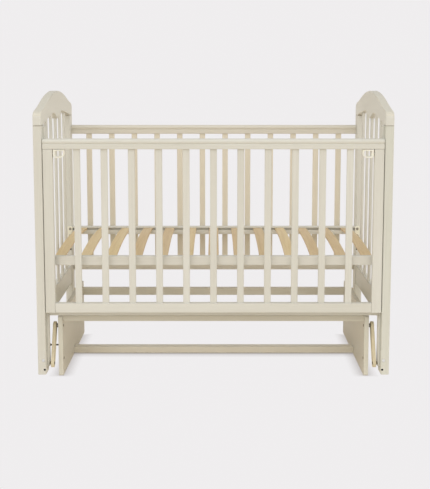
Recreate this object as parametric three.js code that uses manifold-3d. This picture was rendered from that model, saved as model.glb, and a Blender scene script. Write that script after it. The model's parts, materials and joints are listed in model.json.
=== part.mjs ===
// Pendulum crib: a slatted crib that hangs on four short links from a low base, with a front side that drops.
// Millimetres, +Z up, +X to the right, the drop side faces -Y, the floor is Z = 0.
import * as THREE from "three";
import { mergeVertices } from "three/addons/utils/BufferGeometryUtils.js";
import Module from "manifold-3d";

// ---------------------------------------------------------------- driving dimensions
const LENGTH = 1260; // outside, over the ends (X)
const DEPTH = 670; // outside, over the posts (Y)
const END_T = 30; // thickness of posts and arch boards along X
const POST_D = 54; // depth of a post along Y
const POST_Z0 = 30, // foot of the posts
  POST_Z1 = 925; // top of the posts, seam to the arch board
const GAP = 0.3; // assembly gap between pieces
const X_IN = LENGTH / 2 - END_T; // inner face of the posts
const Y_OUT = DEPTH / 2;
const Y_IN = Y_OUT - POST_D;

const BATTEN = { t: 7, y0: -307, y1: -283, z0: 52, z1: 921 };

const END_RAIL = { t: 22, z0: 212, z1: 290 };
const END_SLAT = { w: 30, x0: 606.75, x1: 615.25, pitch: 95 };

const DROP = { half: 598.2, y0: -333, y1: -311, z0: 257, z1: 880, topH: 37, botH: 34.5, stile: 34.7 };
const DROP_SLAT = { w: 24, t: 10, pitch: 96, n: 11 };
const TRAVEL_ROOM = 150; // how far the drop side goes down

const REAR = { y0: 311, y1: 333, topZ0: 845, topZ1: 882, botZ0: 261.5, botZ1: 296 };
const REAR_SLAT = { w: 23, t: 12, pitch: 95.8, n: 12 };

const STRETCHER = { y0: -305, y1: -285, z0: 239, z1: 277 };

const BED = { frontHalf: 591.5, rearHalf: 596.5, yIn: 278, yOut: 298, z0: 422, z1: 455, slotZ0: 440, slotZ1: 448.6, slotD: 12 };
const LATH = { w: 38, t: 8, pitch: 92.5, n: 13, z0: 440.3, camber: 13, facets: 13 };

const BASE = { x0: 551.5, x1: 567.5, half: 264, z1: 225, r: 6 };
const FRONT_BAR = { y0: -258, y1: -236, z0: 204, z1: 225 };
const REAR_BAR = { y0: 205, y1: 225, z0: 178, z1: 209 };
const LOW_BAR = { y0: -16, y1: 18, z0: 3, z1: 28 };

const PIVOT_TOP = { y: -243, z: 184 };
const PIVOT_LOW = { y: -300, z: 61 };
const LINK = { x0: 576.5, x1: 587.5, w: 30, bore: 4.25 };
const STOP = { y: -241, z: 110, r: 2.75, end: 603 };

const GROOVE = { y0: -326.7, y1: -317.3, z0: 112, z1: 836, d: 8.3 };
const PEG_Z = 270;
const LATCH_Z = 828;
const Y_DROP = (DROP.y0 + DROP.y1) / 2;

// ---------------------------------------------------------------- solids
const wasm = await Module();
wasm.setup();

function solid(geometry) {
  const g = geometry.clone();
  g.deleteAttribute("normal");
  g.deleteAttribute("uv");
  const m = mergeVertices(g, 1e-4);
  return new wasm.Manifold(
    new wasm.Mesh({
      numProp: 3,
      vertProperties: new Float32Array(m.attributes.position.array),
      triVerts: new Uint32Array(m.index.array),
    }),
  );
}

function geometryOf(s) {
  const m = s.getMesh();
  const p = new Float32Array(m.numVert * 3);
  for (let i = 0; i < m.numVert; i++)
    p.set(m.vertProperties.subarray(i * m.numProp, i * m.numProp + 3), i * 3);
  const g = new THREE.BufferGeometry();
  g.setAttribute("position", new THREE.BufferAttribute(p, 3));
  g.setIndex(new THREE.BufferAttribute(new Uint32Array(m.triVerts), 1));
  const flat = g.toNonIndexed();
  flat.computeVertexNormals();
  return flat;
}

const BASIS = {
  x: [new THREE.Vector3(0, 1, 0), new THREE.Vector3(0, 0, 1), new THREE.Vector3(1, 0, 0)],
  y: [new THREE.Vector3(0, 0, 1), new THREE.Vector3(1, 0, 0), new THREE.Vector3(0, 1, 0)],
  z: [new THREE.Vector3(1, 0, 0), new THREE.Vector3(0, 1, 0), new THREE.Vector3(0, 0, 1)],
};

// A closed outline [u, v] swept along an axis: for x the outline is (y, z), for y it is (z, x), for z it is (x, y).
function sweep(axis, outline, from, to) {
  const shape = new THREE.Shape(outline.map(([u, v]) => new THREE.Vector2(u, v)));
  const g = new THREE.ExtrudeGeometry(shape, { depth: to - from, bevelEnabled: false, steps: 1 });
  g.translate(0, 0, from);
  g.applyMatrix4(new THREE.Matrix4().makeBasis(...BASIS[axis]));
  return solid(g);
}

// Outline of a rectangle with its four corners rounded by r (or by [r00, r10, r11, r01]).
function roundRect(u0, u1, v0, v1, r, seg = 2) {
  const rs = Array.isArray(r) ? r : [r, r, r, r];
  const corners = [
    [u0, v0, 1, 1, Math.PI, rs[0]],
    [u1, v0, -1, 1, -Math.PI / 2, rs[1]],
    [u1, v1, -1, -1, 0, rs[2]],
    [u0, v1, 1, -1, Math.PI / 2, rs[3]],
  ];
  const out = [];
  for (const [cu, cv, su, sv, a0, rad] of corners) {
    if (rad <= 0) {
      out.push([cu, cv]);
      continue;
    }
    for (let i = 0; i <= seg; i++) {
      const a = a0 + (i / seg) * (Math.PI / 2);
      out.push([cu + su * rad + rad * Math.cos(a), cv + sv * rad + rad * Math.sin(a)]);
    }
  }
  return out;
}

// A bar whose long edges are rounded, given by its box.
function bar(axis, [x0, y0, z0], [x1, y1, z1], r = 2, seg = 2) {
  if (axis === "x") return sweep("x", roundRect(y0, y1, z0, z1, r, seg), x0, x1);
  if (axis === "y") return sweep("y", roundRect(z0, z1, x0, x1, r, seg), y0, y1);
  return sweep("z", roundRect(x0, x1, y0, y1, r, seg), z0, z1);
}

function block([x0, y0, z0], [x1, y1, z1]) {
  const g = new THREE.BoxGeometry(x1 - x0, y1 - y0, z1 - z0);
  g.translate((x0 + x1) / 2, (y0 + y1) / 2, (z0 + z1) / 2);
  return solid(g);
}

// A round rod along x or y through (a, b): (y, z) for x, (z, x) for y.
function rod(axis, a, b, from, to, r, seg = 16) {
  const out = [];
  for (let i = 0; i < seg; i++) {
    const t = ((i + 0.5) / seg) * 2 * Math.PI;
    out.push([a + r * Math.cos(t), b + r * Math.sin(t)]);
  }
  return sweep(axis, out, from, to);
}

// A body of revolution about the X direction through (y, z): profile of [x, radius], open at the axis ends.
function turned(profile, y, z, seg = 16) {
  const pts = [[profile[0][0], 0], ...profile, [profile.at(-1)[0], 0]].map(
    ([x, r]) => new THREE.Vector2(r, x),
  );
  const g = new THREE.LatheGeometry(pts, seg);
  g.applyMatrix4(
    new THREE.Matrix4().makeBasis(
      new THREE.Vector3(0, 1, 0),
      new THREE.Vector3(1, 0, 0),
      new THREE.Vector3(0, 0, -1),
    ),
  );
  g.translate(0, y, z);
  let s = solid(g);
  return s;
}

const all = (first, ...rest) => rest.reduce((a, b) => a.add(b), first);
const cut = (first, ...rest) => rest.reduce((a, b) => a.subtract(b), first);

// ---------------------------------------------------------------- materials
const paint = () => new THREE.MeshStandardMaterial({ color: 0xdad4c4, roughness: 0.42, metalness: 0 });
const birch = () => new THREE.MeshStandardMaterial({ color: 0xd2b98e, roughness: 0.6, metalness: 0 });
const black = () => new THREE.MeshStandardMaterial({ color: 0x1c1c1e, roughness: 0.45, metalness: 0.4 });
const zinc = () => new THREE.MeshStandardMaterial({ color: 0xb9bcc2, roughness: 0.35, metalness: 1 });
const ivory = () => new THREE.MeshStandardMaterial({ color: 0xece6cf, roughness: 0.35, metalness: 0 });
const white = () => new THREE.MeshStandardMaterial({ color: 0xf1efe8, roughness: 0.4, metalness: 0 });

const crib = new THREE.Group();
function piece(name, s, material, flip = [1, 1]) {
  const mesh = new THREE.Mesh(geometryOf(s), material);
  mesh.name = name;
  mesh.scale.set(flip[0], flip[1], 1);
  crib.add(mesh);
}

// ================================================================ crib body, made for the left end (X < 0)
// Corner post: rounded long edges and foot corners, mortises for the rails.
function postBlank(ySign) {
  const [y0, y1] = ySign < 0 ? [-Y_OUT, -Y_IN] : [Y_IN, Y_OUT];
  const stick = bar("z", [-LENGTH / 2, y0, POST_Z0], [-X_IN, y1, POST_Z1], 4, 3);
  const front = sweep("y", roundRect(POST_Z0, POST_Z1 + 20, -LENGTH / 2, -X_IN, [3, 0, 0, 3.5], 3), y0 - 1, y1 + 1);
  // stub tenon on top, up into the arch board
  const tenon = block([-X_IN - 21, (y0 + y1) / 2 - 10, POST_Z1 - 2], [-X_IN - 9, (y0 + y1) / 2 + 10, POST_Z1 + 14]);
  return stick.intersect(front).add(tenon);
}

// End rail tenon pocket, 12 deep into the post's side that faces along Y.
function endRailPocket(ySign) {
  const a = Y_IN - 1,
    b = Y_IN + 12.3;
  const [y0, y1] = ySign < 0 ? [-b, -a] : [a, b];
  return block([-X_IN - 20.3, y0, END_RAIL.z0 + 8.7], [-X_IN - 9.7, y1, END_RAIL.z1 - 8.7]);
}

// Spare holes for the lower bed height and pilot holes behind the bed bracket, in the face that looks at the bed.
const BED_HOLES = [
  { z: 445, r: 2.6, deep: 14 },
  { z: 416, r: 2.6, deep: 14 },
  { z: 357, r: 3.5, deep: 30 },
  { z: 328, r: 3.5, deep: 30 },
];
const BED_HOLE_X = -(X_IN + 6.5);
function bedHoles(ySign) {
  return BED_HOLES.map(({ z, r, deep }) => {
    const [a, b] = ySign < 0 ? [-Y_IN - deep, -Y_IN + 1] : [Y_IN - 1, Y_IN + deep];
    return rod("y", z, BED_HOLE_X, a, b, r, 12);
  });
}

const frontPost = cut(
  postBlank(-1),
  endRailPocket(-1),
  ...bedHoles(-1),
  // guide groove for the drop side's pegs and latch tips, with the lock hole in its floor
  block([-X_IN - GROOVE.d, GROOVE.y0, GROOVE.z0], [-X_IN + 1, GROOVE.y1, GROOVE.z1]),
  rod("x", Y_DROP, LATCH_Z, -X_IN - GROOVE.d - 8, -X_IN - GROOVE.d + 1, 4, 12),
  // mortise for the stretcher
  block([-X_IN - 8.3, STRETCHER.y0 + 4.7, STRETCHER.z0 + 5.7], [-X_IN + 1, STRETCHER.y1 - 4.7, STRETCHER.z1 - 5.7]),
  // seat of the lower pivot bolt
  rod("x", PIVOT_LOW.y, PIVOT_LOW.z, -X_IN - 22, -X_IN + 1, 6.6, 16),
  // plain hole and screw recess in the front of the foot
  rod("y", 48, -605.5, -Y_OUT - 1, -Y_OUT + 45, 4, 12),
  rod("y", 82, -610, -Y_OUT - 1, -Y_OUT + 2.4, 5.8, 16),
  rod("y", 82, -610, -Y_OUT, -Y_OUT + 22.4, 2.2, 8),
);
const rearRailPocket = (z0, z1) =>
  block([-X_IN - 12.3, REAR.y0 + 5.7, z0 + 5.7], [-X_IN + 1, REAR.y1 - 5.7, z1 - 5.7]);
const rearPost = cut(
  postBlank(1),
  endRailPocket(1),
  ...bedHoles(1),
  rearRailPocket(REAR.topZ0, REAR.topZ1),
  rearRailPocket(REAR.botZ0, REAR.botZ1),
  rod("x", -PIVOT_LOW.y, PIVOT_LOW.z, -X_IN - 22, -X_IN + 1, 6.6, 16),
);
piece("left_front_post", frontPost, paint());
piece("right_front_post", frontPost, paint(), [-1, 1]);
piece("left_rear_post", rearPost, paint());
piece("right_rear_post", rearPost, paint(), [-1, 1]);

// Batten on the inner face of each front post, behind the drop side.
const batten = cut(
  bar("z", [-X_IN + GAP, BATTEN.y0, BATTEN.z0], [-X_IN + BATTEN.t, BATTEN.y1, BATTEN.z1], [0, 2, 2, 0], 2),
  block([-X_IN - 1, STRETCHER.y0 + 4.7, STRETCHER.z0 + 5.7], [-X_IN + 9, STRETCHER.y1 - 4.7, STRETCHER.z1 - 5.7]),
  rod("x", PIVOT_LOW.y, PIVOT_LOW.z, -X_IN - 1, -X_IN + 9, 6.6, 16),
);
piece("left_guide_batten", batten, paint());
piece("right_guide_batten", batten, paint(), [-1, 1]);

// Arch board on top of the posts: two shallow arches below with a cusp over the middle slat, one crown above.
const ARCH_LOW = [
  [281, 926.5], [262, 930.5], [243, 934], [225, 937], [208, 939.5], [190, 942], [173, 944.4], [155, 947.3],
  [135, 950], [115, 952.5], [98, 953.7], [85, 953.8], [73, 952.5], [50, 946.5], [30, 939], [11, 932], [0, 929.5],
];
const ARCH_TOP = [
  [335, 951], [334.6, 957], [333, 962.5], [329.5, 967.5], [324, 971.8], [316, 975.5], [300, 979.6], [280, 983.5],
  [263, 987.3], [243, 992.5], [224, 997.8], [207, 1002.5], [190, 1007.2], [169, 1013], [147, 1018], [130, 1021.8],
  [110, 1025.4], [92, 1028.3], [70, 1031], [48, 1033.3], [26, 1035.2], [0, 1036],
];
const smooth = (points, n) =>
  new THREE.SplineCurve(points.map(([y, z]) => new THREE.Vector2(y, z))).getPoints(n).map((p) => [p.x, p.y]);
function archOutline() {
  const half = [[-Y_OUT, POST_Z1 - 20], [-Y_IN, POST_Z1 - 20], ...smooth(ARCH_LOW, 24).map(([y, z]) => [-y, z])];
  const low = [...half, ...half.slice(0, -1).reverse().map(([y, z]) => [-y, z])];
  const top = smooth(ARCH_TOP, 32);
  return [...low, ...top, ...top.slice(0, -1).reverse().map(([y, z]) => [-y, z])];
}
const SLAT_TOP = { 0: 946, 95: 966, 190: 962 };
const endSlatY = [-2, -1, 0, 1, 2].map((i) => i * END_SLAT.pitch);
function softEdged(outline, from, to, r, seg) {
  const shape = new THREE.Shape(outline.map(([u, v]) => new THREE.Vector2(u, v)));
  const g = new THREE.ExtrudeGeometry(shape, {
    depth: to - from - 2 * r,
    bevelEnabled: true,
    bevelThickness: r,
    bevelSize: r,
    bevelOffset: -r,
    bevelSegments: seg,
  });
  g.translate(0, 0, from + r);
  g.applyMatrix4(new THREE.Matrix4().makeBasis(...BASIS.x));
  return solid(g);
}
const arch = cut(
  softEdged(archOutline(), -LENGTH / 2, -X_IN, 4, 3),
  // the joint to the posts is cut square
  block([-LENGTH / 2 - 1, -Y_OUT - 1, POST_Z1 - 30], [-X_IN + 1, Y_OUT + 1, POST_Z1 + GAP]),
  ...endSlatY.map((y) =>
    block([-END_SLAT.x1 - GAP, y - 15.3, 915], [-END_SLAT.x0 + GAP, y + 15.3, SLAT_TOP[Math.abs(y)] + GAP]),
  ),
  ...[-1, 1].map((s) => {
    const y = s * (Y_OUT + Y_IN) / 2;
    return block([-X_IN - 21.3, y - 10.3, 915], [-X_IN - 8.7, y + 10.3, POST_Z1 + 14.3]);
  }),
);
piece("left_arch_board", arch, paint());
piece("right_arch_board", arch, paint(), [-1, 1]);

// End infill: lower rail with five slats glued into it.
const endSlats = all(
  bar("y", [-626, -Y_IN + GAP, END_RAIL.z0], [-604, Y_IN - GAP, END_RAIL.z1], 3, 2),
  block([-620, -Y_IN - 12, END_RAIL.z0 + 9], [-610, Y_IN + 12, END_RAIL.z1 - 9]),
  ...endSlatY.map((y) =>
    bar("z", [-END_SLAT.x1, y - 15, END_RAIL.z1 - 10], [-END_SLAT.x0, y + 15, SLAT_TOP[Math.abs(y)]], 2.5, 2),
  ),
);
piece("left_end_slats", endSlats, paint());
piece("right_end_slats", endSlats, paint(), [-1, 1]);

// Section (y, z) of a top rail: flat sides, a quirk along each side and a round bead on top.
function beadedRail(y0, y1, z0, z1) {
  const c = (y0 + y1) / 2,
    r = (y1 - y0) / 2,
    side = [[r - 2.5, z0], [r - 0.7, z0 + 0.7], [r, z0 + 2.5], [r, z1 - 21.6], [r - 0.5, z1 - 20.5], [r - 2.8, z1 - 19.6]];
  for (let i = 0; i <= 9; i++) {
    const a = ((-43 + (i / 9) * 133) * Math.PI) / 180;
    side.push([r * Math.cos(a), z1 - r + r * Math.sin(a)]);
  }
  const right = side.map(([y, z]) => [c + y, z]);
  const left = side.slice(0, -1).reverse().map(([y, z]) => [c - y, z]);
  return [...right, ...left];
}

// Rear side: top rail, and the bottom rail with its twelve slats glued into it.
const rearX = Array.from({ length: REAR_SLAT.n }, (_, i) => (i - (REAR_SLAT.n - 1) / 2) * REAR_SLAT.pitch);
const yRear = (REAR.y0 + REAR.y1) / 2;
const rearTop = cut(
  all(
    sweep("x", beadedRail(REAR.y0, REAR.y1, REAR.topZ0, REAR.topZ1), -X_IN + GAP, X_IN - GAP),
    block([-X_IN - 12, REAR.y0 + 6, REAR.topZ0 + 6], [X_IN + 12, REAR.y1 - 6, REAR.topZ1 - 6]),
  ),
  ...rearX.map((x) => block([x - 11.8, yRear - 6.3, REAR.topZ0 - 5], [x + 11.8, yRear + 6.3, REAR.topZ0 + 8.3])),
);
piece("rear_top_rail", rearTop, paint());
const rearSlats = all(
  bar("x", [-X_IN + GAP, REAR.y0, REAR.botZ0], [X_IN - GAP, REAR.y1, REAR.botZ1], 3, 2),
  block([-X_IN - 12, REAR.y0 + 6, REAR.botZ0 + 6], [X_IN + 12, REAR.y1 - 6, REAR.botZ1 - 6]),
  ...rearX.map((x) => bar("z", [x - 11.5, yRear - 6, REAR.botZ1 - 10], [x + 11.5, yRear + 6, REAR.topZ0 + 8], 3, 2)),
);
piece("rear_slats", rearSlats, paint());

// Low front stretcher between the front posts, behind the drop side.
piece(
  "front_stretcher",
  all(
    bar("x", [-X_IN + BATTEN.t + GAP, STRETCHER.y0, STRETCHER.z0], [X_IN - BATTEN.t - GAP, STRETCHER.y1, STRETCHER.z1], 3, 2),
    block([-X_IN - 8, STRETCHER.y0 + 5, STRETCHER.z0 + 6], [X_IN + 8, STRETCHER.y1 - 5, STRETCHER.z1 - 6]),
  ),
  paint(),
);

// Bed base: two long rails with a slot along their inner faces, and thirteen laths glued into the slots.
const lathX = Array.from({ length: LATH.n }, (_, i) => (i - (LATH.n - 1) / 2) * LATH.pitch);
function bedRail(s, half) {
  const [y0, y1] = s < 0 ? [-BED.yOut, -BED.yIn] : [BED.yIn, BED.yOut];
  const [a, b] = s < 0 ? [-BED.yIn - BED.slotD, -BED.yIn + 1] : [BED.yIn - 1, BED.yIn + BED.slotD];
  return cut(
    bar("x", [-half, y0, BED.z0], [half, y1, BED.z1], 2, 2),
    block([-half - 1, a, BED.slotZ0], [half + 1, b, BED.slotZ1]),
  );
}
// Mortises in the ends of the rear rail for the tongues of its brackets.
const railMortise = (s) =>
  block([s < 0 ? -BED.rearHalf - 1 : 587.7, 283.7, 425.7], [s < 0 ? -587.7 : BED.rearHalf + 1, 292.3, 435.3]);
// Side outline of a lath: bent upwards between the rails, with straight ends in the slots.
function lathOutline() {
  const end = BED.yIn + BED.slotD + 0.5;
  const low = [[-end, LATH.z0]];
  for (let k = 0; k <= LATH.facets; k++) {
    const y = BED.yIn * ((2 * k) / LATH.facets - 1);
    low.push([y, LATH.z0 + LATH.camber * (1 - (y / BED.yIn) ** 2)]);
  }
  low.push([end, LATH.z0]);
  return [...low, ...low.map(([y, z]) => [y, z + LATH.t]).reverse()];
}
piece(
  "bed_base",
  all(
    bedRail(-1, BED.frontHalf),
    cut(bedRail(1, BED.rearHalf), railMortise(-1), railMortise(1)),
    ...lathX.map((x) => sweep("x", lathOutline(), x - LATH.w / 2, x + LATH.w / 2)),
  ),
  birch(),
);

// Bed brackets: a plate of two lobes on the post with its two screws in counterbores, and a tongue that carries the
// end of the rail.
const PLATE = { x0: 597, x1: 616.5, t: 6.7, z0: 406, z1: 456 };
const yPlate = -Y_IN + GAP + PLATE.t;
const bracketPlate = cut(
  bar("y", [-PLATE.x1, -Y_IN + GAP, PLATE.z0], [-PLATE.x0, yPlate, PLATE.z1], 4, 3),
  block([-PLATE.x1 - 1, yPlate - 1.8, 429.3], [-PLATE.x0 + 1, yPlate + 1, 431.7]),
);
const screwed = (s) =>
  cut(
    s,
    ...[445, 416].map((z) =>
      rod("y", z, BED_HOLE_X, yPlate - 1.6, yPlate + 1, 6, 16).subtract(rod("y", z, BED_HOLE_X, yPlate - 2, yPlate - 0.4, 4.4, 16)),
    ),
    ...[445, 416].map((z) =>
      all(
        block([BED_HOLE_X - 3.2, yPlate - 1.3, z - 0.6], [BED_HOLE_X + 3.2, yPlate + 1, z + 0.6]),
        block([BED_HOLE_X - 0.6, yPlate - 1.3, z - 3.2], [BED_HOLE_X + 0.6, yPlate + 1, z + 3.2]),
      ),
    ),
  );
// Front: the tongue reaches past the batten into the end of the rail's slot.
const frontBracket = all(
  screwed(bracketPlate),
  block([-606, -Y_IN + GAP, 426.5], [-592.3, yPlate - 0.7, 438.5]).add(
    block([-599, -Y_IN + GAP, 436], [-592.3, yPlate - 0.7, 447.4]),
  ),
  block([-592.6, -BED.yIn - 10.5, 441], [-583, yPlate - 0.7, 447.4]),
);
piece("bed_bracket_front_left", frontBracket, white());
piece("bed_bracket_front_right", frontBracket, white(), [-1, 1]);
// Rear: a rib between post and rail, and a tongue in the mortise of the rail's end.
const rearBracket = all(
  screwed(bracketPlate),
  block([-X_IN + GAP, -293, 424], [-PLATE.x0, -276, 437]),
  block([-PLATE.x0 - 0.5, -292, 426], [-588, -284, 435]),
);
piece("bed_bracket_rear_left", rearBracket, white(), [1, -1]);
piece("bed_bracket_rear_right", rearBracket, white(), [-1, -1]);

// Cross-head screw in the front of each front foot.
const footScrew = cut(
  all(rod("y", 82, -610, -Y_OUT, -Y_OUT + 2, 5.2, 16), rod("y", 82, -610, -Y_OUT + 1, -Y_OUT + 21, 1.8, 8)),
  block([-613, -Y_OUT - 1, 81.3], [-607, -Y_OUT + 1.2, 82.7]),
  block([-610.7, -Y_OUT - 1, 79], [-609.3, -Y_OUT + 1.2, 85]),
);
piece("foot_screw_left", footScrew, zinc());
piece("foot_screw_right", footScrew, zinc(), [-1, 1]);

// ================================================================ drop side
const dropX = Array.from({ length: DROP_SLAT.n }, (_, i) => (i - (DROP_SLAT.n - 1) / 2) * DROP_SLAT.pitch);
const zTop0 = DROP.z1 - DROP.topH,
  zBot1 = DROP.z0 + DROP.botH,
  xStile = DROP.half - DROP.stile;

// Top rail: the same section as the rear one.
piece(
  "drop_top_rail",
  cut(
    sweep("x", beadedRail(DROP.y0, DROP.y1, zTop0, DROP.z1), -DROP.half, DROP.half),
    ...dropX.map((x) => block([x - 12.3, Y_DROP - 5.3, zTop0 - 5], [x + 12.3, Y_DROP + 5.3, zTop0 + 8.3])),
    ...[-1, 1].map((s) => {
      const a = s * (DROP.half - 7 + 0.3),
        b = s * (xStile + 7 - 0.3);
      return block([Math.min(a, b), Y_DROP - 4.3, zTop0 - 5], [Math.max(a, b), Y_DROP + 4.3, zTop0 + 12.3]);
    }),
  ),
  paint(),
);
piece(
  "drop_bottom_rail",
  cut(
    all(
      bar("x", [-xStile + GAP, DROP.y0, DROP.z0], [xStile - GAP, DROP.y1, zBot1], 2.5, 2),
      block([-xStile - 14, Y_DROP - 4, DROP.z0 + 6], [xStile + 14, Y_DROP + 4, zBot1 - 6]),
    ),
    ...dropX.map((x) => block([x - 12.3, Y_DROP - 5.3, zBot1 - 8.3], [x + 12.3, Y_DROP + 5.3, zBot1 + 5])),
  ),
  paint(),
);
const SPRING_FLOOR = 578.5; // floor of the wide part of the latch bore
// Stile: runs from the bottom up to the underside of the top rail, with a guide peg at its foot and the latch bore.
const stile = cut(
  all(
    bar("z", [-DROP.half, DROP.y0, DROP.z0], [-xStile, DROP.y1, zTop0 - GAP], 2.5, 2),
    block([-DROP.half + 7, Y_DROP - 4, zTop0 - 4], [-xStile - 7, Y_DROP + 4, zTop0 + 12]),
    rod("x", Y_DROP, PEG_Z, -X_IN - 6, -DROP.half + 4, 4, 12),
  ),
  block([-xStile - 14.3, Y_DROP - 4.3, DROP.z0 + 5.7], [-xStile + 1, Y_DROP + 4.3, zBot1 - 5.7]),
  rod("x", Y_DROP, LATCH_Z, -DROP.half - 1, -xStile + 1, 3.6, 16),
  rod("x", Y_DROP, LATCH_Z, -DROP.half - 1, -SPRING_FLOOR, 6.4, 16),
);
piece("drop_left_stile", stile, paint());
piece("drop_right_stile", stile, paint(), [-1, 1]);
dropX.forEach((x, i) =>
  piece(
    "drop_slat_" + String(i + 1).padStart(2, "0"),
    bar("z", [x - 12, Y_DROP - 5, zBot1 - 8], [x + 12, Y_DROP + 5, zTop0 + 8], 3, 2),
    paint(),
  ),
);

// ================================================================ latches
// Finger ring beside the stile, shank through the stile, collar and rounded tip in the post's groove.
const RING = { x0: -560.7, x1: -521.5, z0: 812.5, z1: 841.6, y0: -332.4, y1: -318.4 };
function ringOutline() {
  const o = [[RING.z0 + 7, RING.x0], [RING.z0 + 2.1, RING.x0 + 2.1], [RING.z0, RING.x0 + 7], [RING.z0, RING.x1 - 17]];
  for (let i = 1; i < 6; i++) {
    const a = (i / 6) * (Math.PI / 2);
    o.push([RING.z0 + 17 * (1 - Math.cos(a)), RING.x1 - 17 + 17 * Math.sin(a)]);
  }
  o.push([RING.z0 + 17, RING.x1], [RING.z1 - 3, RING.x1], [RING.z1, RING.x1 - 3], [RING.z1, RING.x0]);
  return o;
}
function fingerHole() {
  const z0 = RING.z0 + 4.6,
    z1 = RING.z1 - 4.2,
    x0 = RING.x0 + 6.6,
    x1 = RING.x1 - 4.2,
    r = 12.5;
  const o = [[z0, x0 + 4], [z0, x1 - r]];
  for (let i = 1; i < 6; i++) {
    const a = (i / 6) * (Math.PI / 2);
    o.push([z0 + r * (1 - Math.cos(a)), x1 - r + r * Math.sin(a)]);
  }
  o.push([z0 + r, x1], [z1 - 1.5, x1], [z1, x1 - 1.5], [z1, x0 + 1.5], [z1 - 1.5, x0], [z0 + 4, x0], [z0 + 1.2, x0 + 1.2]);
  return o;
}
const latch = all(
  cut(
    sweep("y", ringOutline(), RING.y0, RING.y1),
    sweep("y", fingerHole(), RING.y0 - 1, RING.y1 + 1),
  ),
  rod("x", Y_DROP, LATCH_Z, -xStile + GAP, RING.x0 + 1, 5.5, 16),
  turned(
    [
      [-605.5, 1.6],
      [-604.6, 2.6],
      [-603.5, 3],
      [-594.6, 3],
      [-594.6, 5.6],
      [-592.2, 5.6],
      [-592.2, 3],
      [-560, 3],
    ],
    Y_DROP,
    LATCH_Z,
    16,
  ),
);
piece("latch_left", latch, ivory());
piece("latch_right", latch, ivory(), [-1, 1]);

// Return spring on the shank, between the floor of the stile's bore and the collar.
class Coil extends THREE.Curve {
  constructor(x0, x1, r, turns) {
    super();
    Object.assign(this, { x0, x1, r, turns });
  }
  getPoint(t, target = new THREE.Vector3()) {
    const a = t * this.turns * 2 * Math.PI;
    return target.set(
      this.x0 + (this.x1 - this.x0) * t,
      Y_DROP + this.r * Math.cos(a),
      LATCH_Z + this.r * Math.sin(a),
    );
  }
}
function coilSpring(x0, x1, r, wire, turns) {
  const section = new THREE.Shape(
    Array.from({ length: 5 }, (_, i) => {
      const a = (i / 5) * 2 * Math.PI;
      return new THREE.Vector2(wire * Math.cos(a), wire * Math.sin(a));
    }),
  );
  return solid(
    new THREE.ExtrudeGeometry(section, { steps: turns * 10, extrudePath: new Coil(x0, x1, r, turns), bevelEnabled: false }),
  );
}
const latchSpring = coilSpring(-SPRING_FLOOR - 0.9, -592.2 + 0.9, 4.5, 0.5, 4);
piece("latch_spring_left", latchSpring, zinc());
piece("latch_spring_right", latchSpring, zinc(), [-1, 1]);

// ================================================================ base
const board = cut(
  sweep("x", roundRect(-BASE.half, BASE.half, 0, BASE.z1, BASE.r, 8), -BASE.x1, -BASE.x0),
  rod("x", PIVOT_TOP.y, PIVOT_TOP.z, -BASE.x1 - 1, -BASE.x0 + 1, 4.4, 16),
  rod("x", -PIVOT_TOP.y, PIVOT_TOP.z, -BASE.x1 - 1, -BASE.x0 + 1, 4.4, 16),
  rod("x", -247, 62, -BASE.x1 - 1, -BASE.x0 + 1, 3.4, 12),
);
const stopHole = (s) => rod("x", s * STOP.y, STOP.z, -BASE.x1 - 1, -BASE.x1 + 12, STOP.r + 0.3, 12);
piece("base_left_board", cut(board, stopHole(1), stopHole(-1)), paint());
piece("base_right_board", board, paint(), [-1, 1]);

function crossbar(name, b) {
  piece(name, bar("x", [-BASE.x0 + GAP, b.y0, b.z0], [BASE.x0 - GAP, b.y1, b.z1], 2.5, 2), paint());
}
crossbar("base_front_crossbar", FRONT_BAR);
crossbar("base_rear_crossbar", REAR_BAR);
crossbar("base_low_crossbar", LOW_BAR);

// Short bolt low in the front edge zone of each side board.
const boardBolt = turned(
  [
    [-BASE.x1 - 2.2, 5.5],
    [-BASE.x1 - GAP, 5.5],
    [-BASE.x1 - GAP, 3],
    [-BASE.x0 + GAP, 3],
    [-BASE.x0 + GAP, 5.3],
    [-BASE.x0 + 0.9, 5.3],
    [-BASE.x0 + 1.4, 4],
  ],
  -247,
  62,
  16,
);
piece("board_bolt_left", boardBolt, black());
piece("board_bolt_right", boardBolt, black(), [-1, 1]);

// Swing stop: a bolt out of the left board's outer face behind each left link.
const stop = (s) =>
  turned(
    [
      [-STOP.end, 3],
      [-STOP.end + 1, 4.5],
      [-STOP.end + 4, 4.5],
      [-STOP.end + 4, STOP.r],
      [-BASE.x1 - 3.2, STOP.r],
      [-BASE.x1 - 3.2, 4.6],
      [-BASE.x1 - GAP, 4.6],
      [-BASE.x1 - GAP, STOP.r],
      [-BASE.x1 + 11.5, STOP.r],
    ],
    s * STOP.y,
    STOP.z,
    12,
  );
piece("swing_stop_bolt_front", stop(1), black());
piece("swing_stop_bolt_rear", stop(-1), black());

// Upper pivot bolt: head on the board's inner face, shank through board, spacer nut and link, washer head outside.
const upperBolt = turned(
  [
    [-LINK.x1 - 1.9, 6.6],
    [-LINK.x1 - 1.4, 8],
    [-LINK.x1 - GAP, 8],
    [-LINK.x1 - GAP, 4],
    [-LINK.x0 + GAP, 4],
    [-LINK.x0 + GAP, 7.2],
    [-BASE.x1 - GAP, 7.2],
    [-BASE.x1 - GAP, 4],
    [-BASE.x0 + GAP, 4],
    [-BASE.x0 + GAP, 5.3],
    [-BASE.x0 + 0.9, 5.3],
    [-BASE.x0 + 1.4, 4],
  ],
  PIVOT_TOP.y,
  PIVOT_TOP.z,
  16,
);
const CORNERS = [
  ["front_left", [1, 1]],
  ["front_right", [-1, 1]],
  ["rear_left", [1, -1]],
  ["rear_right", [-1, -1]],
];
for (const [where, flip] of CORNERS) piece("upper_pivot_bolt_" + where, upperBolt, black(), flip);

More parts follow.
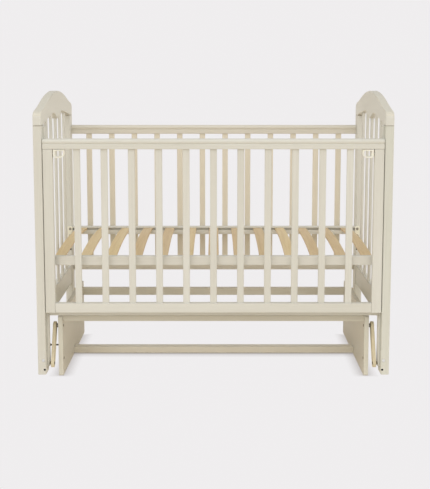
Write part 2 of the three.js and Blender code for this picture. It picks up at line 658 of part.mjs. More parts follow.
// ================================================================ links
const dy = PIVOT_LOW.y - PIVOT_TOP.y,
  dz = PIVOT_LOW.z - PIVOT_TOP.z,
  span = Math.hypot(dy, dz),
  ey = dy / span,
  ez = dz / span; // unit vector down the link
function linkOutline() {
  const o = [];
  const base = Math.atan2(ez, ey);
  for (const [cy, cz, a0] of [
    [PIVOT_LOW.y, PIVOT_LOW.z, base - Math.PI / 2],
    [PIVOT_TOP.y, PIVOT_TOP.z, base + Math.PI / 2],
  ])
    for (let i = 0; i <= 14; i++) {
      const a = a0 + (i / 14) * Math.PI;
      o.push([cy + (LINK.w / 2) * Math.cos(a), cz + (LINK.w / 2) * Math.sin(a)]);
    }
  return o;
}
const link = cut(
  sweep("x", linkOutline(), -LINK.x1, -LINK.x0),
  rod("x", PIVOT_TOP.y, PIVOT_TOP.z, -LINK.x1 - 1, -LINK.x0 + 1, LINK.bore, 16),
  rod("x", PIVOT_LOW.y, PIVOT_LOW.z, -LINK.x1 - 1, -LINK.x0 + 1, LINK.bore, 16),
);
for (const [where, flip] of CORNERS) piece("link_" + where, link, birch(), flip);

// Lower pivot bolt: low head inside, shank through the link, black spacer up to the batten or post, end in the post's seat.
function lowerBolt(face) {
  return turned(
    [
      [-X_IN - 19, 4],
      [-face + 0.8, 4],
      [-face + 0.8, 5.3],
      [-LINK.x1 - GAP, 5.3],
      [-LINK.x1 - GAP, 4],
      [-LINK.x0 + GAP, 4],
      [-LINK.x0 + GAP, 5.4],
      [-LINK.x0 + 0.8, 5.4],
      [-LINK.x0 + 1.2, 4.4],
    ],
    PIVOT_LOW.y,
    PIVOT_LOW.z,
    16,
  );
}
for (const [where, flip] of CORNERS)
  piece("lower_pivot_bolt_" + where, lowerBolt(flip[1] > 0 ? X_IN - BATTEN.t : X_IN), black(), flip);

export default crib;
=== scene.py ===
"""Pendulum crib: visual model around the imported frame. Metres, +Z up, the drop side faces -Y."""

import json
import math

import bmesh
import bpy
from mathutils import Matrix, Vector


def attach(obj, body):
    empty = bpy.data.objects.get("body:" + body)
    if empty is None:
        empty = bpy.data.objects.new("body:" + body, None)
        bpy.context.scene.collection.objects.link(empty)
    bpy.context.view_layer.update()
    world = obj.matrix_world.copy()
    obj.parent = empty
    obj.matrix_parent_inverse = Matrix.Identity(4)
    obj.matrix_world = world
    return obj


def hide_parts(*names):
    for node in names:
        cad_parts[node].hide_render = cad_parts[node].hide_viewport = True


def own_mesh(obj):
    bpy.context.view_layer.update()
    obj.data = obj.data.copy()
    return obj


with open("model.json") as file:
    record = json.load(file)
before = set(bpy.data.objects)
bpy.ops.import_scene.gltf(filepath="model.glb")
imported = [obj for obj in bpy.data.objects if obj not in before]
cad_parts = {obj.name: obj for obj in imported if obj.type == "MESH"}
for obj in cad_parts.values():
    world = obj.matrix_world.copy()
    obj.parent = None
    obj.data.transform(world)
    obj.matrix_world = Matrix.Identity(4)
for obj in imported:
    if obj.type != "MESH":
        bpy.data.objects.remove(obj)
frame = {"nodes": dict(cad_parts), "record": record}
NODES = frame["nodes"]
BODY = {n: b for b, ns in frame["record"]["behaviour"]["bodies"].items() for n in ns}
SLOT = {p["node"]: p["material_slot"] for p in frame["record"]["subparts"]}
bpy.context.view_layer.update()
MM = 0.001

# ------------------------------------------------------------------ camera, floor and light
scene = bpy.context.scene
scene.view_settings.view_transform = "Standard"
scene.view_settings.look = "None"

cam_data = bpy.data.cameras.new("camera")
cam_data.lens = 65.13
cam_data.sensor_width = 36
cam_data.shift_y = -0.17
cam_data.clip_end = 500
cam = bpy.data.objects.new("camera", cam_data)
cam.location = (0.0054, -3.4073, 1.1464)
cam.rotation_euler = (math.radians(90 - 6.417), 0, 0)
scene.collection.objects.link(cam)
scene.camera = cam

PALE = (0.866, 0.850, 0.858)


def tree_of(thing):
    thing.use_nodes = True
    thing.node_tree.nodes.clear()
    return thing.node_tree


world = bpy.data.worlds.new("studio")
scene.world = world
wt = tree_of(world)
w_out = wt.nodes.new("ShaderNodeOutputWorld")
w_mix = wt.nodes.new("ShaderNodeMixShader")
w_path = wt.nodes.new("ShaderNodeLightPath")
w_seen = wt.nodes.new("ShaderNodeBackground")
w_light = wt.nodes.new("ShaderNodeBackground")
w_seen.inputs["Color"].default_value = (*PALE, 1)
w_seen.inputs["Strength"].default_value = 1.0
w_coord = wt.nodes.new("ShaderNodeTexCoord")
w_split = wt.nodes.new("ShaderNodeSeparateXYZ")
w_height = wt.nodes.new("ShaderNodeMapRange")
w_height.inputs["From Min"].default_value = -1.0
w_ramp = wt.nodes.new("ShaderNodeValToRGB")
ROOM = [(0.0, (0.375, 0.320, 0.240)), (0.5, (0.70, 0.692, 0.692)), (0.66, (0.71, 0.698, 0.702)), (1.0, (0.36, 0.345, 0.315))]
for _ in ROOM[2:]:
    w_ramp.color_ramp.elements.new(0.5)
for e, (pos, color) in zip(w_ramp.color_ramp.elements, ROOM):
    e.position = pos
    e.color = (*color, 1)
wt.links.new(w_coord.outputs["Generated"], w_split.inputs[0])
wt.links.new(w_split.outputs["Z"], w_height.inputs["Value"])
wt.links.new(w_height.outputs[0], w_ramp.inputs["Fac"])
w_depth = wt.nodes.new("ShaderNodeMapRange")
w_depth.inputs["From Min"].default_value = -1.0
w_depth.inputs["To Min"].default_value = 1.18
w_depth.inputs["To Max"].default_value = 0.82
wt.links.new(w_split.outputs["Y"], w_depth.inputs["Value"])
wt.links.new(w_depth.outputs[0], w_light.inputs["Strength"])
wt.links.new(w_ramp.outputs["Color"], w_light.inputs["Color"])
wt.links.new(w_path.outputs["Is Camera Ray"], w_mix.inputs["Fac"])
wt.links.new(w_light.outputs[0], w_mix.inputs[1])
wt.links.new(w_seen.outputs[0], w_mix.inputs[2])
wt.links.new(w_mix.outputs[0], w_out.inputs["Surface"])


def lamp(name, energy, azimuth, elevation, angle, color=(1, 1, 1)):
    data = bpy.data.lights.new(name, "SUN")
    data.energy = energy
    data.angle = math.radians(angle)
    data.color = color
    o = bpy.data.objects.new(name, data)
    a, e = math.radians(azimuth), math.radians(elevation)
    towards = Vector((math.sin(a) * math.cos(e), -math.cos(a) * math.cos(e), math.sin(e)))
    o.rotation_euler = towards.to_track_quat("Z", "Y").to_euler()
    scene.collection.objects.link(o)
    return o


lamp("key", 0.80, -24, 42, 50)
lamp("fill", 0.30, 38, 35, 70)
lamp("side_right", 0.74, 87, 26, 60)
lamp("side_left", 0.42, -82, 28, 60)

floor_mesh = bpy.data.meshes.new("floor")
F = 120.0
floor_mesh.from_pydata([(-F, -F, 0), (F, -F, 0), (F, F, 0), (-F, F, 0)], [], [(0, 1, 2, 3)])
floor = bpy.data.objects.new("floor", floor_mesh)
floor.location.z = -0.0004
scene.collection.objects.link(floor)
floor_mat = bpy.data.materials.new("floor_pale")
ft = tree_of(floor_mat)
# the backdrop's own tone, with a painted contact shadow (ambient occlusion in the emission) only where something stands
# close above it; it lights the object as a matt warm floor
f_out = ft.nodes.new("ShaderNodeOutputMaterial")
f_mix = ft.nodes.new("ShaderNodeMixShader")
f_path = ft.nodes.new("ShaderNodeLightPath")
f_dif = ft.nodes.new("ShaderNodeBsdfDiffuse")
f_emi = ft.nodes.new("ShaderNodeEmission")
f_near = ft.nodes.new("ShaderNodeAmbientOcclusion")
f_painted_shadow = ft.nodes.new("ShaderNodeMix")
f_painted_shadow.data_type = "RGBA"
f_near.samples = 12
f_near.inputs["Distance"].default_value = 0.045
# painted contact shadow: the dark warm tone the floor takes where something stands close above it
f_painted_shadow.inputs[6].default_value = (0.30, 0.265, 0.235, 1)
f_painted_shadow.inputs[7].default_value = (*PALE, 1)
f_dif.inputs["Color"].default_value = (0.905, 0.81, 0.68, 1)
# the painted contact shadow is cleared beyond the two boards in x, where the posts' feet hang clear of the floor, and
# in front of and behind the boards in y
f_coord = ft.nodes.new("ShaderNodeTexCoord")
f_split = ft.nodes.new("ShaderNodeSeparateXYZ")
f_out_x = ft.nodes.new("ShaderNodeMath")
f_out_x.operation = "ABSOLUTE"
f_clear = ft.nodes.new("ShaderNodeMapRange")
f_clear.inputs["From Min"].default_value = 0.580
f_clear.inputs["From Max"].default_value = 0.606
f_ahead = ft.nodes.new("ShaderNodeMath")
f_ahead.operation = "MULTIPLY"
f_ahead.inputs[1].default_value = -1.0
f_behind = ft.nodes.new("ShaderNodeMath")
f_behind.operation = "MULTIPLY_ADD"
f_behind.inputs[1].default_value = 0.5
f_behind.inputs[2].default_value = 0.150
f_out_y = ft.nodes.new("ShaderNodeMath")
f_out_y.operation = "MAXIMUM"
f_front = ft.nodes.new("ShaderNodeMapRange")
f_front.inputs["From Min"].default_value = 0.245
f_front.inputs["From Max"].default_value = 0.272
f_both = ft.nodes.new("ShaderNodeMath")
f_both.operation = "MAXIMUM"
f_shade = ft.nodes.new("ShaderNodeMath")
f_shade.operation = "MAXIMUM"
ft.links.new(f_coord.outputs["Object"], f_split.inputs[0])
ft.links.new(f_split.outputs["X"], f_out_x.inputs[0])
ft.links.new(f_out_x.outputs[0], f_clear.inputs["Value"])
ft.links.new(f_near.outputs["AO"], f_shade.inputs[0])
ft.links.new(f_split.outputs["Y"], f_ahead.inputs[0])
ft.links.new(f_split.outputs["Y"], f_behind.inputs[0])
ft.links.new(f_ahead.outputs[0], f_out_y.inputs[0])
ft.links.new(f_behind.outputs[0], f_out_y.inputs[1])
ft.links.new(f_out_y.outputs[0], f_front.inputs["Value"])
ft.links.new(f_clear.outputs[0], f_both.inputs[0])
ft.links.new(f_front.outputs[0], f_both.inputs[1])
ft.links.new(f_both.outputs[0], f_shade.inputs[1])
ft.links.new(f_shade.outputs[0], f_painted_shadow.inputs[0])
ft.links.new(f_painted_shadow.outputs[2], f_emi.inputs["Color"])
ft.links.new(f_path.outputs["Is Camera Ray"], f_mix.inputs["Fac"])
ft.links.new(f_dif.outputs[0], f_mix.inputs[1])
ft.links.new(f_emi.outputs[0], f_mix.inputs[2])
ft.links.new(f_mix.outputs[0], f_out.inputs["Surface"])
floor_mesh.materials.append(floor_mat)


# ------------------------------------------------------------------ materials
class Nodes:
    """A few shorthands for building a node tree."""

    def __init__(self, name):
        self.mat = bpy.data.materials.new(name)
        self.t = tree_of(self.mat)
        self.out = self.t.nodes.new("ShaderNodeOutputMaterial")
        self.bsdf = self.t.nodes.new("ShaderNodeBsdfPrincipled")
        self.link(self.bsdf.outputs[0], self.out.inputs["Surface"])
        coord = self.t.nodes.new("ShaderNodeTexCoord")
        self.coord = coord.outputs["Object"]

    def link(self, a, b):
        self.t.links.new(a, b)

    def set(self, **values):
        for k, v in values.items():
            self.bsdf.inputs[k.replace("_", " ")].default_value = v

    def mapping(self, scale, location=(0, 0, 0)):
        m = self.t.nodes.new("ShaderNodeMapping")
        m.inputs["Scale"].default_value = scale
        m.inputs["Location"].default_value = location
        self.link(self.coord, m.inputs["Vector"])
        return m.outputs[0]

    def noise(self, vector, scale=1.0, detail=3.0, rough=0.5, distort=0.0):
        n = self.t.nodes.new("ShaderNodeTexNoise")
        n.inputs["Scale"].default_value = scale
        n.inputs["Detail"].default_value = detail
        n.inputs["Roughness"].default_value = rough
        n.inputs["Distortion"].default_value = distort
        self.link(vector, n.inputs["Vector"])
        return n.outputs["Fac"]

    def ramp(self, fac, stops):
        r = self.t.nodes.new("ShaderNodeValToRGB")
        el = r.color_ramp.elements
        while len(el) < len(stops):
            el.new(0.5)
        for e, (pos, color) in zip(el, stops):
            e.position = pos
            e.color = (*color, 1) if len(color) == 3 else color
        self.link(fac, r.inputs["Fac"])
        return r.outputs["Color"]

    def span(self, value, lo, hi, to_lo, to_hi):
        m = self.t.nodes.new("ShaderNodeMapRange")
        m.inputs["From Min"].default_value = lo
        m.inputs["From Max"].default_value = hi
        m.inputs["To Min"].default_value = to_lo
        m.inputs["To Max"].default_value = to_hi
        self.link(value, m.inputs["Value"])
        return m.outputs["Result"]

    def mix(self, fac, a, b, mode="MIX"):
        m = self.t.nodes.new("ShaderNodeMix")
        m.data_type = "RGBA"
        m.blend_type = mode
        for socket, v in ((m.inputs[0], fac), (m.inputs[6], a), (m.inputs[7], b)):
            if isinstance(v, (int, float)):
                socket.default_value = v
            elif isinstance(v, tuple):
                socket.default_value = (*v, 1)
            else:
                self.link(v, socket)
        return m.outputs[2]

    def math(self, op, a, b=0.0):
        m = self.t.nodes.new("ShaderNodeMath")
        m.operation = op
        for socket, v in ((m.inputs[0], a), (m.inputs[1], b)):
            if isinstance(v, (int, float)):
                socket.default_value = v
            else:
                self.link(v, socket)
        return m.outputs[0]

    def bump(self, height, strength, distance, normal=None):
        b = self.t.nodes.new("ShaderNodeBump")
        b.inputs["Strength"].default_value = strength
        b.inputs["Distance"].default_value = distance
        self.link(height, b.inputs["Height"])
        if normal is not None:
            self.link(normal, b.inputs["Normal"])
        return b.outputs[0]

    def attribute(self, name):
        a = self.t.nodes.new("ShaderNodeAttribute")
        a.attribute_name = name
        return a.outputs["Fac"]


AXES = {"x": 0, "y": 1, "z": 2}


def stretched(axis, along, across):
    v = [across] * 3
    v[AXES[axis]] = along
    return tuple(v)


def lerp(a, b, t):
    return tuple(x + (y - x) * t for x, y in zip(a, b))


PAINT_A = (0.694, 0.687, 0.624)
PAINT_B = (0.645, 0.634, 0.564)


def paint(axis, name="paint_", tint=(1.0, 1.0, 1.0)):
    """Satin paint on beech: faint grain that telegraphs through, a slight brush texture along the member and soft
    tone changes from member to member. The tint scales both tones; several members use it for painted light or shade."""
    n = Nodes(name + axis)
    grain = n.noise(n.mapping(stretched(axis, 5, 210)), 1.0, 4.0, 0.6, 0.4)
    fine = n.noise(n.mapping(stretched(axis, 26, 900)), 1.0, 2.0, 0.5)
    broad = n.noise(n.mapping(stretched(axis, 1.1, 7.0)), 1.0, 2.0, 0.5)
    peel = n.noise(n.mapping((520, 520, 520)), 1.0, 1.0, 0.5)
    tone = n.span(broad, 0.32, 0.68, 0.0, 1.0)
    colour = n.mix(tone, *(tuple(a * b for a, b in zip(c, tint)) for c in (PAINT_A, PAINT_B)))
    streak = n.ramp(grain, [(0.30, (0.93, 0.925, 0.905)), (0.52, (1.0, 1.0, 1.0)), (0.78, (1.015, 1.015, 1.01))])
    colour = n.mix(0.55, colour, n.mix(1.0, colour, streak, "MULTIPLY"))
    n.link(colour, n.bsdf.inputs["Base Color"])
    n.link(n.span(grain, 0.25, 0.75, 0.36, 0.50), n.bsdf.inputs["Roughness"])
    normal = n.bump(grain, 0.22, 0.00030)
    normal = n.bump(fine, 0.12, 0.00012, normal)
    normal = n.bump(peel, 0.10, 0.00010, normal)
    n.link(normal, n.bsdf.inputs["Normal"])
    n.set(IOR=1.47)
    n.bsdf.inputs["Coat Weight"].default_value = 0.12
    n.bsdf.inputs["Coat Roughness"].default_value = 0.3
    return n.mat


def birch(name, axis, light, dark, ply_lines):
    """Clear-lacquered birch plywood: long pale grain, short dark flecks and, on the edges, the glue lines."""
    n = Nodes(name)
    grain = n.noise(n.mapping(stretched(axis, 4.5, 120)), 1.0, 5.0, 0.62, 0.9)
    wave = n.noise(n.mapping(stretched(axis, 1.6, 26)), 1.0, 3.0, 0.55, 1.6)
    fleck = n.noise(n.mapping(stretched(axis, 90, 1150)), 1.0, 2.0, 0.45)
    cloud = n.noise(n.mapping((9, 3, 9)), 1.0, 2.0, 0.5)
    base = n.mix(n.span(wave, 0.3, 0.7, 0.0, 1.0), light, lerp(light, dark, 0.42))
    base = n.mix(n.span(grain, 0.46, 0.74, 0.0, 0.62), base, dark)
    base = n.mix(n.span(cloud, 0.35, 0.75, 0.0, 0.28), base, lerp(light, (1.0, 0.93, 0.82), 0.35))
    base = n.mix(n.span(fleck, 0.66, 0.74, 0.0, 0.55), base, lerp(dark, (0.16, 0.08, 0.03), 0.45))
    if ply_lines:
        h = n.attribute("ply")
        stripe = n.math("FRACT", n.math("MULTIPLY", h, 3.0))
        edge = n.ramp(
            stripe,
            [(0.0, (0.80, 0.62, 0.40)), (0.44, (0.70, 0.51, 0.31)), (0.48, (0.30, 0.18, 0.09)), (0.54, (0.42, 0.27, 0.14)), (0.60, (0.64, 0.45, 0.26)), (1.0, (0.80, 0.62, 0.40))],
        )
        inside = n.math("MULTIPLY", n.math("GREATER_THAN", h, 0.04), n.math("LESS_THAN", h, 0.96))
        base = n.mix(n.math("MULTIPLY", inside, 0.8), base, n.mix(n.span(grain, 0.3, 0.8, 0.0, 0.5), edge, dark))
    n.link(base, n.bsdf.inputs["Base Color"])
    n.link(n.span(grain, 0.3, 0.75, 0.42, 0.58), n.bsdf.inputs["Roughness"])
    normal = n.bump(grain, 0.25, 0.00025)
    normal = n.bump(fleck, 0.15, 0.0001, normal)
    n.link(normal, n.bsdf.inputs["Normal"])
    n.bsdf.inputs["Coat Weight"].default_value = 0.08
    n.bsdf.inputs["Coat Roughness"].default_value = 0.35
    return n.mat


def plastic(name, color, shade, rough):
    """Moulded plastic with a fine grained skin and slight tone changes where it flowed."""
    n = Nodes(name)
    skin = n.noise(n.mapping((2600, 2600, 2600)), 1.0, 1.0, 0.5)
    flow = n.noise(n.mapping((60, 60, 90)), 1.0, 3.0, 0.5, 0.8)
    n.link(n.mix(n.span(flow, 0.35, 0.7, 0.0, 1.0), color, shade), n.bsdf.inputs["Base Color"])
    n.link(n.span(flow, 0.3, 0.7, rough, rough + 0.12), n.bsdf.inputs["Roughness"])
    n.link(n.bump(skin, 0.12, 0.00005, n.bump(flow, 0.08, 0.0002)), n.bsdf.inputs["Normal"])
    n.bsdf.inputs["Subsurface Weight"].default_value = 0.08
    n.bsdf.inputs["Subsurface Radius"].default_value = (0.004, 0.003, 0.002)
    return n.mat


def metal(name, color, shade, metallic, rough):
    """Plated or blackened steel: cloudy film, fine turning marks and small scuffs."""
    n = Nodes(name)
    cloud = n.noise(n.mapping((210, 210, 210)), 1.0, 4.0, 0.6, 0.6)
    turn = n.noise(n.mapping((5200, 320, 320)), 1.0, 2.0, 0.5)
    scuff = n.noise(n.mapping((900, 2400, 900)), 1.0, 3.0, 0.7)
    n.link(n.mix(n.span(cloud, 0.35, 0.7, 0.0, 1.0), color, shade), n.bsdf.inputs["Base Color"])
    n.link(n.span(scuff, 0.3, 0.72, rough, rough + 0.22), n.bsdf.inputs["Roughness"])
    n.link(n.bump(turn, 0.15, 0.00006, n.bump(cloud, 0.1, 0.0001)), n.bsdf.inputs["Normal"])
    n.set(Metallic=metallic)
    return n.mat


PAINT = {a: paint(a) for a in "xyz"}
# painted light and shade: the rear rails warmer and a little darker as in shade, the rear slats lighter and warmer as
# with light bounced from the laths
REAR_PAINT_SHADE_AND_BOUNCE = {"x": paint("x", "rear_rail_painted_shade_", (1.015, 0.975, 0.93)), "z": paint("z", "rear_slat_painted_bounce_light_", (1.12, 1.05, 0.955))}
# painted light and shade under the crib: the boards and upper crossbars darker and warmer as in shade, the boards'
# front edges lighter as if lit, the low crossbar lighter and warmer as with light bounced from the floor
BASE_PAINT_LIGHT_AND_SHADE = {
    "board": paint("y", "base_board_painted_shade_", (0.975, 0.955, 0.92)),
    "edge": paint("z", "base_edge_painted_light_", (1.08, 1.075, 1.04)),
    "bar": paint("x", "base_bar_painted_shade_", (0.955, 0.93, 0.875)),
    "low": paint("x", "base_low_bar_painted_bounce_light_", (1.07, 1.03, 0.965)),
}
# painted shade: the right front post a little darker than the other posts
RIGHT_POST_PAINTED_SHADE = paint("z", "right_post_painted_shade_", (0.955, 0.97, 0.95))
# painted light: a warmer tone for faces that face upwards, as under warm light from above
ARCH_TOP_PAINTED_LIGHT = paint("y", "arch_top_painted_light_", (1.0, 0.972, 0.92))
# painted shade in the joint between post and arch board
SEAM_PAINTED_SHADE = paint("y", "seam_painted_shade_", (0.62, 0.58, 0.52))
# painted light: the bed rails a little lighter than the rest of the paint
BED_RAIL_PAINTED_LIGHT = paint("x", "bed_rail_painted_light_", (1.06, 1.05, 1.05))
LATH = birch("birch_lath", "y", (0.740, 0.565, 0.320), (0.600, 0.425, 0.215), True)
LATH_YELLOW = birch("birch_lath_yellow", "y", (0.820, 0.650, 0.360), (0.670, 0.485, 0.245), True)
LINK = birch("birch_link", "z", (0.700, 0.625, 0.430), (0.580, 0.490, 0.310), True)
IVORY = plastic("ivory_plastic", (0.86, 0.85, 0.75), (0.80, 0.79, 0.69), 0.26)
WHITE = plastic("cream_plastic", (0.86, 0.83, 0.69), (0.80, 0.77, 0.63), 0.36)
BLACK = metal("black_steel", (0.014, 0.014, 0.015), (0.030, 0.029, 0.030), 0.25, 0.42)
ZINC = metal("zinc", (0.88, 0.91, 0.96), (0.74, 0.77, 0.82), 0.8, 0.34)
SPACER = metal("spacer", (0.250, 0.210, 0.140), (0.190, 0.160, 0.110), 0.2, 0.40)
SCREW = metal("screw", (0.42, 0.39, 0.33), (0.33, 0.30, 0.26), 0.7, 0.36)
NUT = metal("nut", (0.300, 0.305, 0.310), (0.220, 0.220, 0.220), 0.8, 0.32)
# painted shade: near black inside the deep holes
BORE_PAINTED_SHADE = metal("bore_painted_shade", (0.012, 0.009, 0.006), (0.020, 0.015, 0.010), 0.0, 0.9)


# ------------------------------------------------------------------ geometry
def rounded(u0, u1, v0, v1, r, seg=5):
    """Rectangle outline, counter-clockwise, corners rounded by r or by one radius each."""
    rs = r if isinstance(r, (list, tuple)) else [r] * 4
    out = []
    for (cu, cv, su, sv, a0), rad in zip(
        [(u0, v0, 1, 1, 180), (u1, v0, -1, 1, 270), (u1, v1, -1, -1, 0), (u0, v1, 1, -1, 90)], rs
    ):
        for i in range(seg + 1):
            a = math.radians(a0 + 90 * i / seg)
            out.append((cu + su * rad + rad * math.cos(a), cv + sv * rad + rad * math.sin(a)))
    return out


def inset(outline, d):
    """The outline moved inwards by d, mitred at each point."""
    if d == 0:
        return list(outline)
    out, n = [], len(outline)
    for i in range(n):
        p, q, r = outline[i - 1], outline[i], outline[(i + 1) % n]
        a = Vector((q[0] - p[0], q[1] - p[1])).normalized()
        b = Vector((r[0] - q[0], r[1] - q[1])).normalized()
        na, nb = Vector((-a.y, a.x)), Vector((-b.y, b.x))
        k = (na + nb) / max(1 + na.dot(nb), 0.25)
        out.append((q[0] + k.x * d, q[1] + k.y * d))
    return out


def place(axis, u, v, a):
    """(u, v) of an outline at a along an axis: for x the outline is (y, z), for y it is (z, x), for z it is (x, y)."""
    return {"x": (a, u, v), "y": (v, a, u), "z": (u, v, a)}[axis]


def finish_mesh(name, mesh, material, body, node=None, slot=None, sharp=38):
    mesh.validate()
    bm = bmesh.new()
    bm.from_mesh(mesh)
    for f in bm.faces:
        f.smooth = True
    limit = math.radians(sharp)
    for e in bm.edges:
        if len(e.link_faces) == 2 and e.calc_face_angle(0) > limit:
            e.smooth = False
    bm.to_mesh(mesh)
    bm.free()
    mesh.materials.clear()
    mesh.materials.append(material)
    o = bpy.data.objects.new(name, mesh)
    scene.collection.objects.link(o)
    w = o.modifiers.new("normals", "WEIGHTED_NORMAL")
    w.keep_sharp = True
    w.weight = 60
    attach(o, body)
    if node:
        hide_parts(*([node] if isinstance(node, str) else node))
    return o


def second_finish(o, material, inside, index=1):
    """Another finish on the faces of a piece whose centre (mm) is inside."""
    o.data.materials.append(material)
    for f in o.data.polygons:
        if inside(*(c / MM for c in f.center)):
            f.material_index = index


def sweep(name, axis, outline, a0, a1, material, body, end=0.8, esegs=3, **more):
    """An outline (mm) run along an axis from a0 to a1 (mm), with both ends eased by end (mm)."""
    rings = []
    for k in range(esegs + 1):
        t = math.radians(90 * k / esegs)
        rings.append((a0 + end * (1 - math.sin(t)), end * (1 - math.cos(t))))
    # from the flat end (inset) to the full section
    rings = sorted({(round(a, 6), round(d, 6)) for a, d in rings})
    rings = [(a, d) for a, d in rings]
    rings += [(a0 + a1 - a, d) for a, d in reversed(rings)]
    verts, faces, n = [], [], len(outline)
    for a, d in rings:
        for u, v in inset(outline, d):
            verts.append(tuple(c * MM for c in place(axis, u, v, a)))
    for k in range(len(rings) - 1):
        for i in range(n):
            j = (i + 1) % n
            faces.append((k * n + i, k * n + j, (k + 1) * n + j, (k + 1) * n + i))
    faces.append(tuple(reversed(range(n))))
    faces.append(tuple(range((len(rings) - 1) * n, len(rings) * n)))
    mesh = bpy.data.meshes.new(name)
    mesh.from_pydata(verts, [], faces)
    return finish_mesh(name, mesh, material, body, **more)


def refined(node, material, name=None, ease=0.6, segs=2, above=50, sharp=38, other=None):
    """The CAD node's own shape with every crisp edge eased: coplanar facets joined, then a fine bevel.
    other is (mm, test of an edge's midpoint in mm) for edges that are eased by another amount."""
    source = NODES[node].data
    bm = bmesh.new()
    bm.from_mesh(source)
    bmesh.ops.remove_doubles(bm, verts=bm.verts, dist=2e-6)
    bmesh.ops.dissolve_limit(
        bm, angle_limit=math.radians(0.6), verts=bm.verts, edges=bm.edges, delimit=set()
    )
    rounds = [(ease, lambda *mid: True)] if ease else []
    if other:
        rounds = [other, (ease, lambda *mid: not other[1](*mid))]
    for size, test in rounds:
        crisp = [
            e
            for e in bm.edges
            if len(e.link_faces) == 2
            and e.calc_face_angle(0) > math.radians(above)
            and e.calc_length() > 0.4 * MM
            and test(*((e.verts[0].co + e.verts[1].co) / 2 / MM))
        ]
        bmesh.ops.bevel(
            bm,
            geom=crisp,
            offset=size * MM,
            offset_type="OFFSET",
            segments=segs,
            profile=0.5,
            affect="EDGES",
            clamp_overlap=True,
        )
    mesh = bpy.data.meshes.new((name or node) + "_shape")
    bm.to_mesh(mesh)
    bm.free()
    for a in [a.name for a in mesh.attributes if a.name == "custom_normal"]:
        mesh.attributes.remove(mesh.attributes[a])
    return finish_mesh(name or "v_" + node, mesh, material, BODY[node], node, SLOT[node], sharp)


# ------------------------------------------------------------------ dimensions shared with the CAD part, in mm
X_IN, Y_OUT, Y_IN = 600, 335, 281
END_SLAT_Y = (-190, -95, 0, 95, 190)
SLAT_TOP = {0: 946, 95: 966, 190: 962}
SCREW_X, SCREW_Z = 606.5, (445, 416)



# the faces inside the foot hole and the spare bed holes, which get the painted shade
def in_bore(x, y, z):
    if -334 < y < -289 and math.hypot(abs(x) - 605.5, z - 48) < 4.1:
        return True
    return 281.3 < abs(y) < 311.5 and min(math.hypot(abs(x) - SCREW_X, z - h) for h in (357, 328)) < 3.6


# ------------------------------------------------------------------ members that keep the CAD shape
for s in ("left", "right"):
    for f in ("front", "rear"):
        # the right front post takes the darker paint, a painted shade
        post = refined(f"{s}_{f}_post", RIGHT_POST_PAINTED_SHADE if (s, f) == ("right", "front") else PAINT["z"], other=(1.5, lambda x, y, z: 924 < z < 926))
        # painted shade: dark inside the hole of the foot and the spare holes for the bed, and along the joint line
        # under the arch board
        second_finish(post, BORE_PAINTED_SHADE, in_bore)
        # painted shade along the joint line at the post's top
        second_finish(post, SEAM_PAINTED_SHADE, lambda x, y, z: 923.6 < z < 924.9, 2)
    refined(f"{s}_guide_batten", PAINT["z"])
    arch = refined(f"{s}_arch_board", PAINT["y"], above=42, other=(1.5, lambda x, y, z: z < 926 and abs(y) > 280.5))
    # painted shade along the joint line at the arch board's lower edge
    second_finish(arch, SEAM_PAINTED_SHADE, lambda x, y, z: 925.1 < z < 926.6 and abs(y) > 280.5)
    # painted light: the paint takes a warmer tone on the faces that face upwards, along the curved top edge
    arch.data.materials.append(ARCH_TOP_PAINTED_LIGHT)
    for face in arch.data.polygons:
        if face.normal.z > 0.22 and face.material_index == 0:
            face.material_index = 2
    refined(f"drop_{s}_stile", PAINT["z"], ease=0.8)
    board = refined(f"base_{s}_board", BASE_PAINT_LIGHT_AND_SHADE["board"], ease=2.5, segs=3)
    # painted light: the board's front edge is painted lighter
    second_finish(board, BASE_PAINT_LIGHT_AND_SHADE["edge"], lambda x, y, z: y < -262.9)
    refined(f"latch_{s}", IVORY, ease=1.1, segs=3, other=(0.25, lambda x, y, z: abs(x) > 561.5))
    refined(f"foot_screw_{s}", ZINC, ease=0.2, segs=1)
    second_finish(refined(f"board_bolt_{s}", BLACK, ease=0.3), SPACER, lambda x, y, z: abs(x) < 551.9)
    # the spring shortens with the latch: 13.7 mm at rest, 6.7 mm when it is pulled
    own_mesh(refined(f"latch_spring_{s}", ZINC, ease=0))
for n in ("drop_top_rail", "drop_bottom_rail", "front_stretcher"):
    refined(n, PAINT["x"])
# painted shade on the rear top rail
refined("rear_top_rail", REAR_PAINT_SHADE_AND_BOUNCE["x"])
# painted shade on the upper crossbars, painted bounce light on the low crossbar
refined("base_front_crossbar", BASE_PAINT_LIGHT_AND_SHADE["bar"])
refined("base_rear_crossbar", BASE_PAINT_LIGHT_AND_SHADE["bar"])
refined("base_low_crossbar", BASE_PAINT_LIGHT_AND_SHADE["low"])
for i in range(1, 12):
    refined(f"drop_slat_{i:02d}", PAINT["z"], ease=0)
for n in ("swing_stop_bolt_front", "swing_stop_bolt_rear"):
    refined(n, BLACK, ease=0.3)
for c in ("front_left", "front_right", "rear_left", "rear_right"):
    bolt = refined("upper_pivot_bolt_" + c, BLACK, ease=0.3)
    second_finish(bolt, NUT, lambda x, y, z: 567.9 < abs(x) < 576.1)
    second_finish(bolt, SPACER, lambda x, y, z: abs(x) < 551.9, 2)
    second_finish(refined("lower_pivot_bolt_" + c, BLACK, ease=0.3), SPACER, lambda x, y, z: 587.6 < abs(x) < 599.5)
    refined("link_" + c, LINK, ease=1.0)
    second_finish(
        refined("bed_bracket_" + c, WHITE, ease=0.6),
        SCREW,
        lambda x, y, z: 274.15 < abs(y) < 276 and min(math.hypot(abs(x) - SCREW_X, z - h) for h in SCREW_Z) < 4.6,
    )

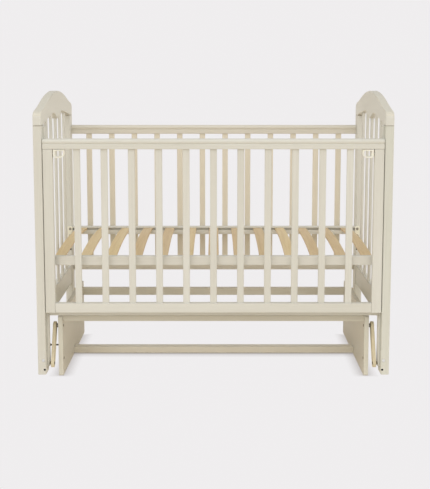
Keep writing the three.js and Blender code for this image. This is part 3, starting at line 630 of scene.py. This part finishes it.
# ------------------------------------------------------------------ end infill: rail and slats
for s, side in (("left", -1), ("right", 1)):
    x0, x1 = sorted((side * 604, side * 626))
    sweep(f"{s}_end_rail", "y", rounded(212, 290, x0, x1, 3), -Y_IN + 0.3, Y_IN - 0.3, PAINT["y"], "crib",
          node=f"{s}_end_slats", slot="painted_wood")
    for k, y in enumerate(END_SLAT_Y, 1):
        x0, x1 = sorted((side * 606.75, side * 615.25))
        sweep(f"{s}_end_slat_{k}", "z", rounded(x0, x1, y - 15, y + 15, 2.5), 288, SLAT_TOP[abs(y)], PAINT["z"], "crib",
              slot="painted_wood")

# ------------------------------------------------------------------ rear infill
# painted shade on the rear bottom rail
sweep("rear_bottom_rail", "x", rounded(311, 333, 261.5, 296, 3), -X_IN + 0.3, X_IN - 0.3, REAR_PAINT_SHADE_AND_BOUNCE["x"], "crib",
      node="rear_slats", slot="painted_wood")
for i in range(12):
    x = (i - 5.5) * 95.8
    # painted bounce light on the rear slats
    sweep(f"rear_slat_{i + 1:02d}", "z", rounded(x - 11.5, x + 11.5, 316, 328, 3), 294, 853, REAR_PAINT_SHADE_AND_BOUNCE["z"], "crib",
          slot="painted_wood")

# ------------------------------------------------------------------ bed base: slotted rails and bent laths
for f, side, half_length in (("front", -1, 591.5), ("rear", 1, 596.5)):
    # section (y, z) of the rear rail: a slot for the laths along the inner face
    half = [(278 + 1.5, 422), (298 - 1.5, 422), (298, 423.5), (298, 453.5), (296.5, 455), (279.5, 455), (278, 453.5),
            (278, 449), (278.4, 448.6), (290, 448.6), (290, 440), (278.4, 440), (278, 439.6), (278, 423.5)]
    outline = half if side > 0 else [(-y, z) for y, z in reversed(half)]
    # the bed rails carry the lighter paint, a painted light
    sweep(f"bed_rail_{f}", "x", outline, -half_length, half_length, BED_RAIL_PAINTED_LIGHT, "crib", end=1.0,
          node="bed_base" if side < 0 else None, slot="painted_wood")


def lath(name, x, material):
    """A lath bent upwards by 13 mm between the rails; 'ply' runs from 0 at its underside to 1 on top."""
    cols = [-290.3, -278] + [278 * (2 * k / 26 - 1) for k in range(1, 26)] + [278, 290.3]
    section = rounded(-19, 19, 0, 8, 1.6, 3)
    verts, faces, ply, n = [], [], [], len(section)
    for y in cols:
        lift = 13 * (1 - (y / 278) ** 2) if abs(y) < 278 else 0
        for u, v in section:
            verts.append(((x + u) * MM, y * MM, (440.3 + lift + v) * MM))
            ply.append(v / 8)
    for k in range(len(cols) - 1):
        for i in range(n):
            j = (i + 1) % n
            faces.append((k * n + j, k * n + i, (k + 1) * n + i, (k + 1) * n + j))
    faces.append(tuple(range(n)))
    faces.append(tuple(reversed(range((len(cols) - 1) * n, len(cols) * n))))
    mesh = bpy.data.meshes.new(name)
    mesh.from_pydata(verts, [], faces)
    a = mesh.attributes.new("ply", "FLOAT", "POINT")
    a.data.foreach_set("value", ply)
    return finish_mesh(name, mesh, material, "crib", slot="birch")


# veneer differs from lath to lath
YELLOW_LATHS = (0, 1, 2, 5, 9)
for i in range(13):
    lath(f"bed_lath_{i + 1:02d}", (i - 6) * 92.5, LATH_YELLOW if i in YELLOW_LATHS else LATH)

bpy.context.view_layer.update()
